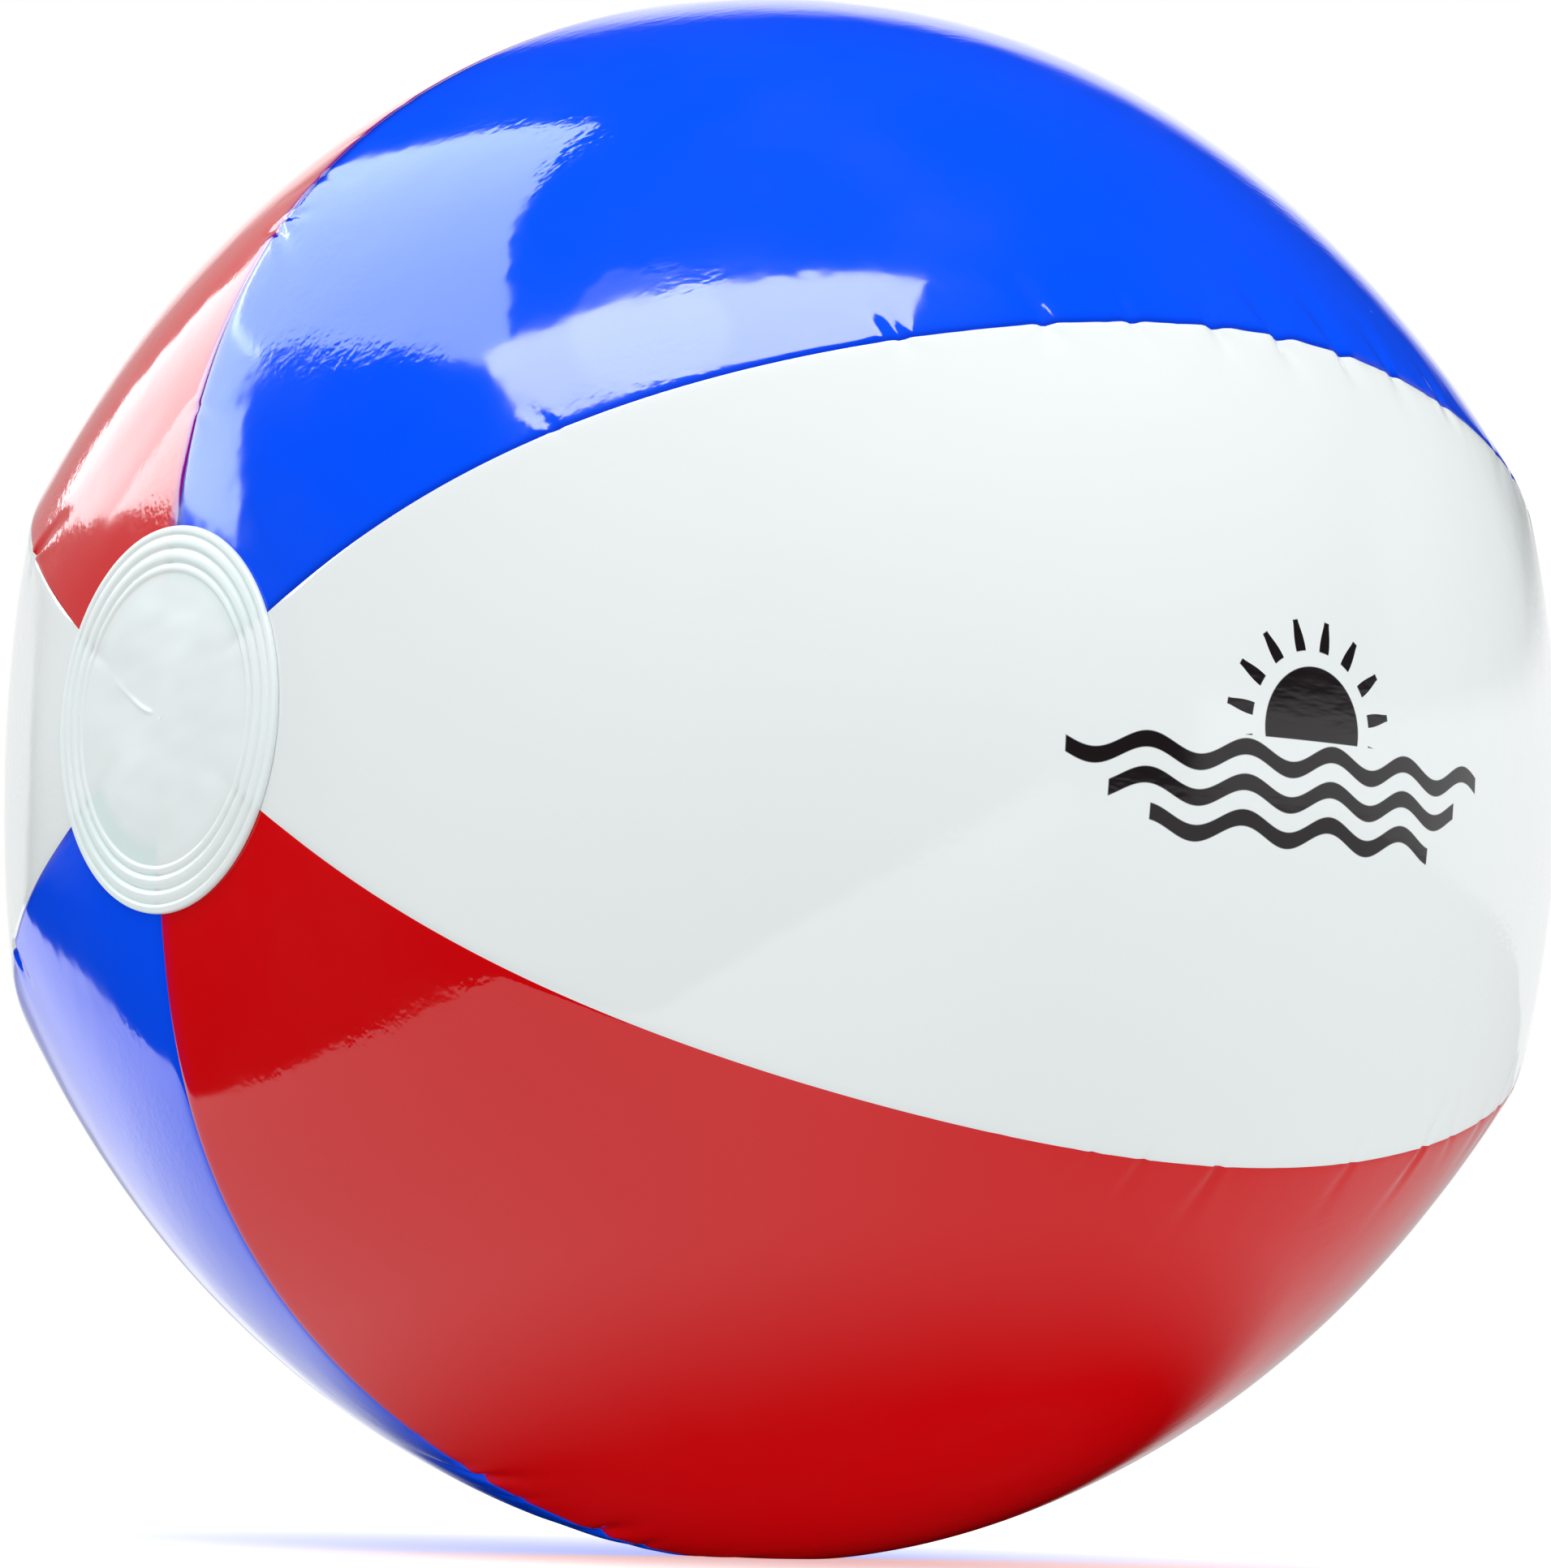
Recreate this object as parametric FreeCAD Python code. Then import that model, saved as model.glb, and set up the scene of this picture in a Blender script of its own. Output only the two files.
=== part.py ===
"""Inflatable beach ball: six welded film gores, two end discs and an air valve with its stopper.

Millimetres. The origin is the ball's centre. +X runs through the poles, towards the valve, and +Z is up.
Angles round the X axis start at -Y and turn towards +Z. The ball rests on its lowest seam.
"""
import FreeCAD, Part
import math
import os

# The inflated shape: a seam's distance from the centre is BALL_RADIUS times a series in sin(latitude)^2.
BALL_RADIUS = 132.0
SEAM_SERIES = (-0.044, 0.298, -0.306)
FULLNESS_EQUATOR = 0.987      # mid-panel radius over seam radius, at the equator
FULLNESS_POLE = 0.919         # and near the poles, where each panel pulls flatter
CAP_RADIUS = 31.0
BLEND_WIDTH = 26.0            # the section turns from six-sided to round over this width outside a cap
CONTACT_DEPTH = 0.9           # how far the floor flattens the lowest seam

# Film and welds.
FILM = 0.25
PANEL_END_RADIUS = 21.0       # the panels run under the caps to here
PANELS = ("white_1", "blue_1", "red_1", "white_2", "blue_2", "red_2")
PANEL_STEP = 360.0 / len(PANELS)
LOWEST_ANGLE = 270.0          # the seam between the fifth and sixth panels
GRID_ROWS = 41
GRID_COLUMNS = 9
WELD_DEPTH = 4.0
WELD_THICK = 0.5
WELD_BITE = 0.1               # a weld starts this far inside the film's outer face
WELD_END_RADIUS = 32.5
THICK_BLANK = 12.0            # depth of the blank that the two resting panels are hollowed from

# End caps, with the rings that the welding tool leaves.
CAP_FILM = 0.4
RING_HEIGHT = 0.3
RING_TOP = 0.35
RING_FOOT = 0.9
RINGS = (28.4, 26.1, 24.1)
CAP_HOLE_RADIUS = 11.0
CAP_FLAT_RADIUS = 6.0         # the plain cap's level middle

# Valve, along +X. Depths are measured inwards from the cap's inner face at the pole.
FLANGE_OUTER = 18.0
FLANGE_INNER = 10.2
FLANGE_THICK = 0.9
STEM_TOP = 2.6
STEM_LENGTH = 15.5
STEM_OUTER = 4.75
STEM_BORE = 2.75
COLLAR_RADIUS = 5.3
COLLAR_THICK = 1.4
COLLAR_DEPTH = 7.6
SEAT_MOUTH = 3.5
SEAT_LENGTH = 4.4
DIAPHRAGM = 0.5
JOIN_GAP = 0.05               # between a part that flexes and the part it is moulded to

# Stopper, its strap, and the check flap.
HEAD_RADIUS = 5.5
HEAD_THICK = 1.6
PLUG_TOP = 3.3
PLUG_TIP = 2.2
PLUG_LENGTH = 4.0
TAB_LENGTH = 2.0
TAB_WIDTH = 4.0
STRAP_PIVOT = 7.5
STRAP_WIDTH = 3.0
STRAP_THICK = 0.7
FLAP_RADIUS = 3.9
FLAP_THICK = 0.5
FLAP_GAP = 0.3
FLAP_PIVOT = 4.3
WEB_THICK = 0.3
WEB_WIDTH = 3.0

X_AXIS = FreeCAD.Vector(1, 0, 0)
CENTRE = FreeCAD.Vector(0, 0, 0)


def seam_point(latitude):
    """The seam's place along X and its radius at a latitude, in radians."""
    square = math.sin(latitude) ** 2
    swell = 1 + sum(term * square ** (power + 1) for power, term in enumerate(SEAM_SERIES))
    reach = BALL_RADIUS * swell
    return reach * math.sin(latitude), reach * math.cos(latitude)


def latitude_at(radius):
    """The latitude at which a seam has come in to a radius."""
    low, high = math.radians(20), math.radians(89.9)
    for _ in range(60):
        middle = (low + high) / 2
        if seam_point(middle)[1] > radius:
            low = middle
        else:
            high = middle
    return low


def inner_face(radius):
    """How far along X the caps' inner face lies at a radius."""
    return seam_point(latitude_at(radius))[0] if radius > 0.5 else seam_point(math.pi / 2)[0]


CAP_EDGE_X = inner_face(CAP_RADIUS)
CAP_X = inner_face(0)
CONTACT_Z = -(BALL_RADIUS - CONTACT_DEPTH)


def fullness(x, radius):
    """Mid-panel radius over seam radius: round under the caps, six-sided beyond them."""
    drop = (FULLNESS_EQUATOR - FULLNESS_POLE) * (x / CAP_EDGE_X) ** 2
    share = min(max((radius - CAP_RADIUS) / BLEND_WIDTH, 0), 1)
    return 1 - (1 - FULLNESS_EQUATOR + drop) * share * share * (3 - 2 * share)


def panel_point(latitude, side, centre_angle):
    """A point of a panel's outer face. side runs from -1 to 1, from seam to seam."""
    x, radius = seam_point(latitude)
    middle = fullness(x, radius) * radius
    half_chord = radius * math.sin(math.radians(PANEL_STEP / 2))
    rise = middle - radius * math.cos(math.radians(PANEL_STEP / 2))
    bow = (half_chord ** 2 + rise ** 2) / (2 * rise)
    turn = side * math.asin(half_chord / bow)
    across = bow * math.sin(turn)
    out = middle - bow * (1 - math.cos(turn))
    cosine, sine = math.cos(centre_angle), math.sin(centre_angle)
    return FreeCAD.Vector(x, -out * cosine + across * sine, out * sine + across * cosine)


def sunk_point(latitude, side, centre_angle, depth):
    """A point at a depth under the panel's face, kept in its own plane through the X axis."""
    step = 1e-4
    point = panel_point(latitude, side, centre_angle)
    along = panel_point(latitude + step, side, centre_angle) - panel_point(latitude - step, side, centre_angle)
    across = panel_point(latitude, side + step, centre_angle) - panel_point(latitude, side - step, centre_angle)
    normal = across.cross(along).normalize()
    if normal.dot(point) < 0:
        normal = -normal
    round_axis = X_AXIS.cross(point).normalize()
    flat = normal - round_axis * normal.dot(round_axis)
    return point - flat * (depth / flat.dot(flat))


def panel_surface(centre_angle, end_radius, side_limit, depth):
    """A smooth surface at a depth under one panel's outer face."""
    end = latitude_at(end_radius)
    rows = []
    for row in range(GRID_ROWS):
        latitude = end * (2 * row / (GRID_ROWS - 1) - 1)
        sides = [side_limit * (2 * column / (GRID_COLUMNS - 1) - 1) for column in range(GRID_COLUMNS)]
        rows.append([sunk_point(latitude, side, centre_angle, depth) for side in sides])
    surface = Part.BSplineSurface()
    surface.interpolate(rows)
    return surface


def between(outer, inner):
    """The solid between two surfaces that run side by side."""
    faces = [outer.toShape(), inner.toShape()]
    u_ends, v_ends = outer.bounds()[:2], outer.bounds()[2:]
    u_inner, v_inner = inner.bounds()[:2], inner.bounds()[2:]
    for one, other in zip(u_ends, u_inner):
        faces.append(Part.makeRuledSurface(outer.uIso(one).toShape(), inner.uIso(other).toShape()))
    for one, other in zip(v_ends, v_inner):
        faces.append(Part.makeRuledSurface(outer.vIso(one).toShape(), inner.vIso(other).toShape()))
    shell = Part.Shell(faces)
    shell.sewShape()
    solid = Part.Solid(shell)
    if solid.Volume < 0:
        solid.reverse()
    return solid


def film_panel(centre_angle):
    """One gore of film, from cap to cap."""
    outer = panel_surface(centre_angle, PANEL_END_RADIUS, 1, 0)
    inner = panel_surface(centre_angle, PANEL_END_RADIUS, 1, FILM)
    return between(outer, inner)


def floor_block(top):
    """Everything near the floor that lies under a height."""
    size = BALL_RADIUS
    return Part.makeBox(size, size, size, FreeCAD.Vector(-size / 2, -size / 2, top - size))


def resting_panel(centre_angle):
    """A gore that meets the floor: its lowest film lies flat."""
    outer = panel_surface(centre_angle, PANEL_END_RADIUS, 1, 0)
    blank = between(outer, panel_surface(centre_angle, PANEL_END_RADIUS, 1, THICK_BLANK))
    hollow_outer = panel_surface(centre_angle, PANEL_END_RADIUS - 1, 1.05, FILM)
    hollow = between(hollow_outer, panel_surface(centre_angle, PANEL_END_RADIUS - 1, 1.05, THICK_BLANK + 3))
    return blank.cut(floor_block(CONTACT_Z)).cut(hollow.cut(floor_block(CONTACT_Z + FILM))).Solids[0]


def seam_weld(angle):
    """The fin inside one seam, where two panels' edges are welded together."""
    end = latitude_at(WELD_END_RADIUS)
    latitudes = [end * (2 * row / (GRID_ROWS - 1) - 1) for row in range(GRID_ROWS)]
    curves = []
    for depth in (WELD_BITE, WELD_DEPTH):
        points = []
        for latitude in latitudes:
            x, radius = seam_point(latitude)
            ahead, behind = seam_point(latitude + 1e-4), seam_point(latitude - 1e-4)
            run, climb = ahead[0] - behind[0], ahead[1] - behind[1]
            length = math.hypot(run, climb)
            points.append(FreeCAD.Vector(x + depth * climb / length, 0, radius - depth * run / length))
        curve = Part.BSplineCurve()
        curve.interpolate(points)
        curves.append((curve.toShape(), points))
    (top, top_points), (foot, foot_points) = curves
    first = Part.makeLine(top_points[0], foot_points[0])
    last = Part.makeLine(top_points[-1], foot_points[-1])
    outline = Part.Wire(Part.__sortEdges__([top, last, foot, first]))
    fin = Part.Face(outline).extrude(FreeCAD.Vector(0, WELD_THICK, 0))
    fin.translate(FreeCAD.Vector(0, -WELD_THICK / 2, 0))
    fin.rotate(CENTRE, X_AXIS, 90 - angle)
    return fin


def lathe(points):
    """A closed outline of (x, radius) points, with ("arc", mid, end) for round stretches, turned about X."""
    vectors = []
    edges = []
    for item in points:
        if item[0] == "arc":
            mid, end = (FreeCAD.Vector(place[0], 0, place[1]) for place in item[1:])
            edges.append(Part.Arc(vectors[-1], mid, end).toShape())
            vectors.append(end)
            continue
        place = FreeCAD.Vector(item[0], 0, item[1])
        if vectors:
            edges.append(Part.makeLine(vectors[-1], place))
        vectors.append(place)
    if vectors[-1].distanceToPoint(vectors[0]) > JOIN_GAP / 10:
        edges.append(Part.makeLine(vectors[-1], vectors[0]))
    return Part.Face(Part.Wire(edges)).revolve(CENTRE, X_AXIS, 360)


def end_cap(hole_radius):
    """A disc of heavier film with raised weld rings, facing +X. A cap without a hole gets radius 0."""
    start = max(hole_radius, CAP_FLAT_RADIUS)
    flat_end = RINGS[-1] - RING_FOOT
    middle = (start + flat_end) / 2
    outline = [(inner_face(start), hole_radius), (inner_face(start) + CAP_FILM, hole_radius)]
    outline.append((inner_face(start) + CAP_FILM, start + RING_TOP))
    outline.append(("arc", (inner_face(middle) + CAP_FILM, middle), (inner_face(flat_end) + CAP_FILM, flat_end)))
    for ring in reversed(RINGS):
        crest = inner_face(ring) + CAP_FILM + RING_HEIGHT
        outline.append((crest, ring - RING_TOP))
        outline.append((crest, ring + RING_TOP))
        outline.append((inner_face(ring + RING_FOOT) + CAP_FILM, ring + RING_FOOT))
    outline.append((inner_face(CAP_RADIUS), CAP_RADIUS))
    near = (start + CAP_RADIUS) / 2
    outline.append(("arc", (inner_face(near), near), (inner_face(start), start + RING_TOP)))
    return lathe(outline)


def valve_flange():
    """The moulded ring welded inside the valve cap."""
    near = inner_face(FLANGE_INNER) + WELD_BITE
    far = inner_face(FLANGE_OUTER) + WELD_BITE
    back = near - FLANGE_THICK
    return lathe([(back, FLANGE_INNER), (near, FLANGE_INNER), (far, FLANGE_OUTER), (back, FLANGE_OUTER)])


def valve_diaphragm():
    """The soft funnel that turns inside out when the stem is pushed in or pulled out."""
    edge = inner_face(FLANGE_INNER) + 2 * WELD_BITE - FLANGE_THICK
    collar = CAP_X - COLLAR_DEPTH
    inner = COLLAR_RADIUS + JOIN_GAP
    outer = FLANGE_INNER + 1
    sag = (edge - 4.6, inner + 3.4)
    return lathe([
        (edge, outer),
        ("arc", sag, (collar, inner)),
        (collar - DIAPHRAGM, inner),
        ("arc", (sag[0] - DIAPHRAGM, sag[1] + DIAPHRAGM), (edge, outer + DIAPHRAGM)),
    ])


def valve_stem():
    """The tube that is blown into, with a tapered seat in its mouth and a collar at its root."""
    top = CAP_X - STEM_TOP
    foot = top - STEM_LENGTH
    collar_top = CAP_X - COLLAR_DEPTH + COLLAR_THICK / 2
    collar_foot = collar_top - COLLAR_THICK
    return lathe([
        (foot, STEM_BORE), (top - SEAT_LENGTH, STEM_BORE), (top, SEAT_MOUTH), (top, STEM_OUTER),
        (collar_top, STEM_OUTER), (collar_top, COLLAR_RADIUS), (collar_foot, COLLAR_RADIUS),
        (collar_foot, STEM_OUTER), (foot, STEM_OUTER),
    ])


def stopper_plug():
    """The tapered plug with its flat head and a finger tab on the side away from the strap."""
    seat = CAP_X - STEM_TOP + JOIN_GAP
    plug = lathe([
        (seat - PLUG_LENGTH, 0), (seat + HEAD_THICK, 0), (seat + HEAD_THICK, HEAD_RADIUS - 0.4),
        (seat + HEAD_THICK - 0.4, HEAD_RADIUS), (seat, HEAD_RADIUS), (seat, PLUG_TOP), (seat - PLUG_LENGTH, PLUG_TIP),
    ])
    reach = HEAD_RADIUS + TAB_LENGTH
    corner = FreeCAD.Vector(seat, -TAB_WIDTH / 2, -reach)
    tab = Part.makeBox(HEAD_THICK / 2, TAB_WIDTH, reach - PLUG_TOP, corner)
    return plug.fuse(tab).removeSplitter().Solids[0]


def strap(path, width):
    """A flat strip, width wide along Y, along an outline of (x, z) points."""
    outline = Part.makePolygon([FreeCAD.Vector(x, -width / 2, z) for x, z in path + path[:1]])
    return Part.Face(outline).extrude(FreeCAD.Vector(0, width, 0))


def stopper_tether():
    """The strap that keeps the stopper on the stem, bent over at its living hinge."""
    head = CAP_X - STEM_TOP + HEAD_THICK / 2
    near_head = HEAD_RADIUS + JOIN_GAP
    near_stem = STEM_OUTER + JOIN_GAP
    low = head - 3.6
    return strap([
        (head, near_head), (head, STRAP_PIVOT), (head - STRAP_THICK, STRAP_PIVOT + STRAP_THICK),
        (low, STRAP_PIVOT + STRAP_THICK), (low - STRAP_THICK, STRAP_PIVOT), (low - STRAP_THICK, near_stem),
        (low, near_stem), (low, STRAP_PIVOT - STRAP_THICK / 2), (head - STRAP_THICK, STRAP_PIVOT - STRAP_THICK / 2),
        (head - STRAP_THICK, near_head),
    ], STRAP_WIDTH)


def check_flap():
    """The soft disc that closes the stem's inner end against the air inside."""
    face = CAP_X - STEM_TOP - STEM_LENGTH - FLAP_GAP
    return Part.makeCylinder(FLAP_RADIUS, FLAP_THICK, FreeCAD.Vector(face - FLAP_THICK, 0, 0), X_AXIS)


def flap_web():
    """The thin hinge between the flap's top edge and the stem's end."""
    face = CAP_X - STEM_TOP - STEM_LENGTH
    middle = face - FLAP_GAP - FLAP_THICK / 2
    return strap([
        (face - JOIN_GAP, FLAP_PIVOT - WEB_THICK / 2), (face - JOIN_GAP, FLAP_PIVOT + WEB_THICK / 2),
        (middle - WEB_THICK / 2, FLAP_PIVOT + WEB_THICK / 2), (middle - WEB_THICK / 2, FLAP_RADIUS + JOIN_GAP),
        (middle + WEB_THICK / 2, FLAP_RADIUS + JOIN_GAP), (middle + WEB_THICK / 2, FLAP_PIVOT - WEB_THICK / 2),
    ], WEB_WIDTH)


def all_nodes():
    """Every node's name with its solid."""
    nodes = {}
    for number, name in enumerate(PANELS):
        centre_angle = number * PANEL_STEP
        seam_angle = centre_angle + PANEL_STEP / 2
        rests = abs(centre_angle - LOWEST_ANGLE) < PANEL_STEP
        nodes["panel_" + name] = (resting_panel if rests else film_panel)(math.radians(centre_angle))
        weld = seam_weld(seam_angle)
        if abs(seam_angle - LOWEST_ANGLE) < 1:
            weld = weld.cut(floor_block(CONTACT_Z + WELD_BITE)).Solids[0]
        nodes["seam_weld_%d" % (number + 1)] = weld
    plain_cap = end_cap(0)
    plain_cap.rotate(CENTRE, FreeCAD.Vector(0, 0, 1), 180)
    nodes["end_cap_plain"] = plain_cap
    nodes["end_cap_valve"] = end_cap(CAP_HOLE_RADIUS)
    nodes["valve_flange"] = valve_flange()
    nodes["valve_diaphragm"] = valve_diaphragm()
    nodes["valve_stem"] = valve_stem()
    nodes["stopper_plug"] = stopper_plug()
    nodes["stopper_tether"] = stopper_tether()
    nodes["check_flap"] = check_flap()
    nodes["flap_web"] = flap_web()
    return nodes


os.makedirs("parts", exist_ok=True)
for node, shape in all_nodes().items():
    if not shape.isValid() or shape.Volume <= 0:
        raise ValueError(node + " is not a sound solid")
    shape.exportStep("parts/" + node + ".step")
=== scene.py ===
"""Looks for the inflatable beach ball: puckered vinyl gores, welded end caps and the mouth valve.

Metres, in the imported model's frame: +X runs through the poles towards the valve, +Z is up, and angles
round the X axis start at -Y and turn towards +Z.
"""
import math

import bpy
import numpy as np
from mathutils import Matrix, Vector


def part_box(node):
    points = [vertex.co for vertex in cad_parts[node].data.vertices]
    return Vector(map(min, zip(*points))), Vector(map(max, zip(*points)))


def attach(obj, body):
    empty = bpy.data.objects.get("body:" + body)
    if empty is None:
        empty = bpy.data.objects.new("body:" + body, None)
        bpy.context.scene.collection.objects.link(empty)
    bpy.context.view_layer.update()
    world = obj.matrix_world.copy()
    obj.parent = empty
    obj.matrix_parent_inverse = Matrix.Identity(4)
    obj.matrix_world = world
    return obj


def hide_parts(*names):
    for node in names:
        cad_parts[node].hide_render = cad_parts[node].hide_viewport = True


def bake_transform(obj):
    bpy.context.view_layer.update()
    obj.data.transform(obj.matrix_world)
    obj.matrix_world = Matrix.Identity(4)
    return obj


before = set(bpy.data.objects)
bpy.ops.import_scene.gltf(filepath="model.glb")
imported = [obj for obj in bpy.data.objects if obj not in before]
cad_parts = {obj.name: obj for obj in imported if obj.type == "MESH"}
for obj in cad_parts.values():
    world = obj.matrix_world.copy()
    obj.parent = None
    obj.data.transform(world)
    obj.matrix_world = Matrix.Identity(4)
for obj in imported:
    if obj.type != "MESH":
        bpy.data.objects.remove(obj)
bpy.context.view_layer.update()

MM = 0.001

# The ball's shape, as the CAD model has it. Sizes come from the frame.
BALL_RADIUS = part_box("panel_blue_1")[1].z
CONTACT_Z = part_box("panel_red_2")[0].z
CAP_RADIUS = (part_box("end_cap_plain")[1].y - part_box("end_cap_plain")[0].y) / 2
SEAM_SERIES = (-0.044, 0.298, -0.306)
FULLNESS_EQUATOR = 0.987
FULLNESS_POLE = 0.919
BLEND_WIDTH = 26 * MM
PANEL_END_RADIUS = 21 * MM
CAP_FILM = 0.4 * MM
PANELS = ("white_1", "blue_1", "red_1", "white_2", "blue_2", "red_2")
PANEL_STEP = math.radians(60)

# How finely the film is meshed.
ROWS = 420
EDGE_STEPS_MM = (0, 0.15, 0.35, 0.6, 0.9, 1.3, 1.8, 2.4, 3.1, 4, 5, 6.2, 7.6, 9.2, 11, 13)
MIDDLE_COLUMNS = 56

# Where the film's folds and ripples fade out: beside the end caps, and ripples beside a seam too.
CAP_MARGIN = 9 * MM
SEAM_MARGIN = 5 * MM
# Lengths of the ripples, and the strength of the shorter ones.
RIPPLE_LENGTH = 38 * MM
FINE_RIPPLE_LENGTH = 12 * MM
FINE_RIPPLE_SHARE = 0.25
# How far the film is sunk under the caps, how near a seam it sinks straight inwards, and how soft the edge
# of its flattened underside is.
SUNK_UNDER_CAP = 0.1 * MM
STRAIGHT_REACH = 3 * MM
SETTLED_EDGE = 0.12 * MM

# The fused edges: depths of their top and foot under the film's face, half their thickness, and the rows
# of the film's grid that are left out at each end.
FIN_TOP = 0.2 * MM
FIN_FOOT = 4 * MM
FIN_HALF_THICKNESS = 0.25 * MM
FIN_ROWS_CUT = 24

# Relief of the film.
GROOVE_DEPTH = 0.2 * MM
GROOVE_WIDTH = 0.6 * MM
RIPPLE_HEIGHT = 0.035 * MM
OVERLAP_WIDTH = 1.7 * MM
SEED = 7

# Colours, linear. A cap's tint multiplies it where a gore's tip is under it. Beside a seam a film takes a
# seam
# colour: the two films' overlap on red film over blue, and painted shade of the groove on blue and white
# film.
WHITE = (0.815, 0.86, 0.86)
BLUE = (0.0, 0.075, 0.94)
RED = (0.64, 0.001, 0.003)
MILKY = (0.84, 0.93, 0.925)
INK = (0.013, 0.010, 0.011)
CAP_TINTS = {"white": (1.0, 1.0, 1.0), "blue": (0.84, 0.94, 0.91), "red": (0.95, 0.92, 0.90)}
# Blue and white: painted shade where the film curves into a seam's groove. Red: the films' overlap over
# blue.
SEAM_OVERLAP_AND_SHADE_COLOURS = {"white": (0.70, 0.78, 0.84), "blue": (0.0, 0.015, 0.40), "red": (0.22, 0.0, 0.28)}


# ---------------------------------------------------------------- shape of the ball

def seam_point(latitude):
    """Places along X and radii of a seam at latitudes, in radians."""
    square = np.sin(latitude) ** 2
    reach = BALL_RADIUS * (1 + sum(term * square ** (power + 1) for power, term in enumerate(SEAM_SERIES)))
    return reach * np.sin(latitude), reach * np.cos(latitude)


LATITUDES = np.linspace(0, math.pi / 2, 4001)
FALLING = slice(400, None)  # latitudes at which a seam's radius only falls
SEAM_X, SEAM_R = seam_point(LATITUDES)
SEAM_LENGTH = np.concatenate([[0], np.cumsum(np.hypot(np.diff(SEAM_X), np.diff(SEAM_R)))])


def latitude_at(radius):
    """The latitude at which a seam has come in to a radius."""
    return float(np.interp(-radius, -SEAM_R[FALLING], LATITUDES[FALLING]))


def cap_seat(radius):
    """How far along X the caps' inner face lies, at radii."""
    return np.interp(-np.asarray(radius, float), -SEAM_R[FALLING], SEAM_X[FALLING])


CAP_EDGE_X = float(cap_seat(CAP_RADIUS))
END_LATITUDE = latitude_at(PANEL_END_RADIUS)
END_LENGTH = float(np.interp(END_LATITUDE, LATITUDES, SEAM_LENGTH))


def along_seam(latitude):
    """Distance from the equator along a seam, towards the valve, as a share of the panel's half length."""
    return np.sign(latitude) * np.interp(abs(latitude), LATITUDES, SEAM_LENGTH) / END_LENGTH


def panel_points(latitude, side, centre_angle):
    """Points of a panel's face, with their distances to the two seams. side runs from -1 to 1."""
    x, radius = seam_point(latitude)
    share = np.clip((radius - CAP_RADIUS) / BLEND_WIDTH, 0, 1)
    drop = 1 - FULLNESS_EQUATOR + (FULLNESS_EQUATOR - FULLNESS_POLE) * (x / CAP_EDGE_X) ** 2
    middle = radius * (1 - drop * share * share * (3 - 2 * share))
    half_chord = radius * math.sin(PANEL_STEP / 2)
    rise = middle - radius * math.cos(PANEL_STEP / 2)
    bow = (half_chord ** 2 + rise ** 2) / (2 * rise)
    half_turn = np.arcsin(half_chord / bow)
    across = bow * np.sin(side * half_turn)
    out = middle - bow * (1 - np.cos(side * half_turn))
    cosine, sine = math.cos(centre_angle), math.sin(centre_angle)
    points = np.stack([x, -out * cosine + across * sine, out * sine + across * cosine], -1)
    return points, bow * half_turn * (1 + side), bow * half_turn * (1 - side)


def panel_normals(latitude, side, centre_angle):
    """Unit outward normals of a panel's smooth face, before its folds."""
    step = 1e-4

    def face(rows, columns):
        return panel_points(rows, columns, centre_angle)[0]

    along = face(latitude + step, side) - face(latitude - step, side)
    across = face(latitude, side + step) - face(latitude, side - step)
    normals = np.cross(across, along)
    normals /= np.linalg.norm(normals, axis=-1, keepdims=True)
    return normals * np.sign((normals * face(latitude, side)).sum(-1, keepdims=True))


# ---------------------------------------------------------------- puckers along the seams

# Small folds come at random in zones of each seam: (from, to, strength). Places along a seam are shares of
# the way from the equator to the valve (+) or to the plain cap (-).
PUCKER_ZONES = {
    0: ((0.40, 0.80, 0.25), (-0.30, 0.40, 0.12)),
    1: ((-0.60, -0.40, 0.2), (-0.1, 0.75, 0.6)),
    2: ((-0.5, 0.75, 0.6),),
    3: ((-0.6, 0.65, 0.6),),
    4: ((-0.40, 0.10, 0.5), (0.2, 0.8, 0.6)),
    5: ((0.34, 0.80, 0.4), (-0.3, 0.3, 0.1)),
}
# Folds that stand out, seam by seam: (place, depth, width, reach before the seam, reach after it, slant),
# in millimetres apart from the place and the slant.
MAIN_FOLDS = {
    0: ((-0.63, 0.35, 1.0, 1.5, 3.5, -0.3), (-0.33, 0.55, 1.7, 2, 5, -0.2), (-0.20, 0.8, 2.2, 3, 7, -0.2),
        (-0.115, 0.7, 2.0, 4, 8, -0.3), (-0.03, 1.0, 2.6, 4, 9, -0.3), (0.045, 1.2, 2.8, 5, 10, -0.3),
        (0.125, 0.9, 2.4, 5, 9, -0.3), (0.20, 0.5, 2.2, 4, 8, -0.3), (0.29, 0.35, 2.0, 3, 7, -0.3)),
    1: ((-0.84, 0.3, 1.0, 3, 2, 0.3), (-0.66, 0.6, 1.3, 4, 3, 0.4), (-0.645, 0.6, 0.8, 3, 2, -0.4)),
    2: ((-0.78, 0.8, 1.6, 6, 2, 0.3),),
    3: ((-0.74, 0.8, 1.6, 2, 6, 0.3),),
    4: ((-0.32, 0.8, 2.0, 8, 8, 0.2), (-0.18, 0.9, 2.2, 9, 9, -0.2), (-0.05, 0.8, 2.0, 8, 8, 0.2)),
    5: ((-0.13, 0.4, 1.3, 6, 3, 0.25), (-0.08, 0.5, 1.3, 7, 3, 0.25), (0.0, 0.6, 1.4, 8, 4, 0.25),
        (0.17, 0.25, 1.6, 7, 3, 0.3), (0.29, 0.6, 1.3, 7, 4, 0.4)),
}


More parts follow.
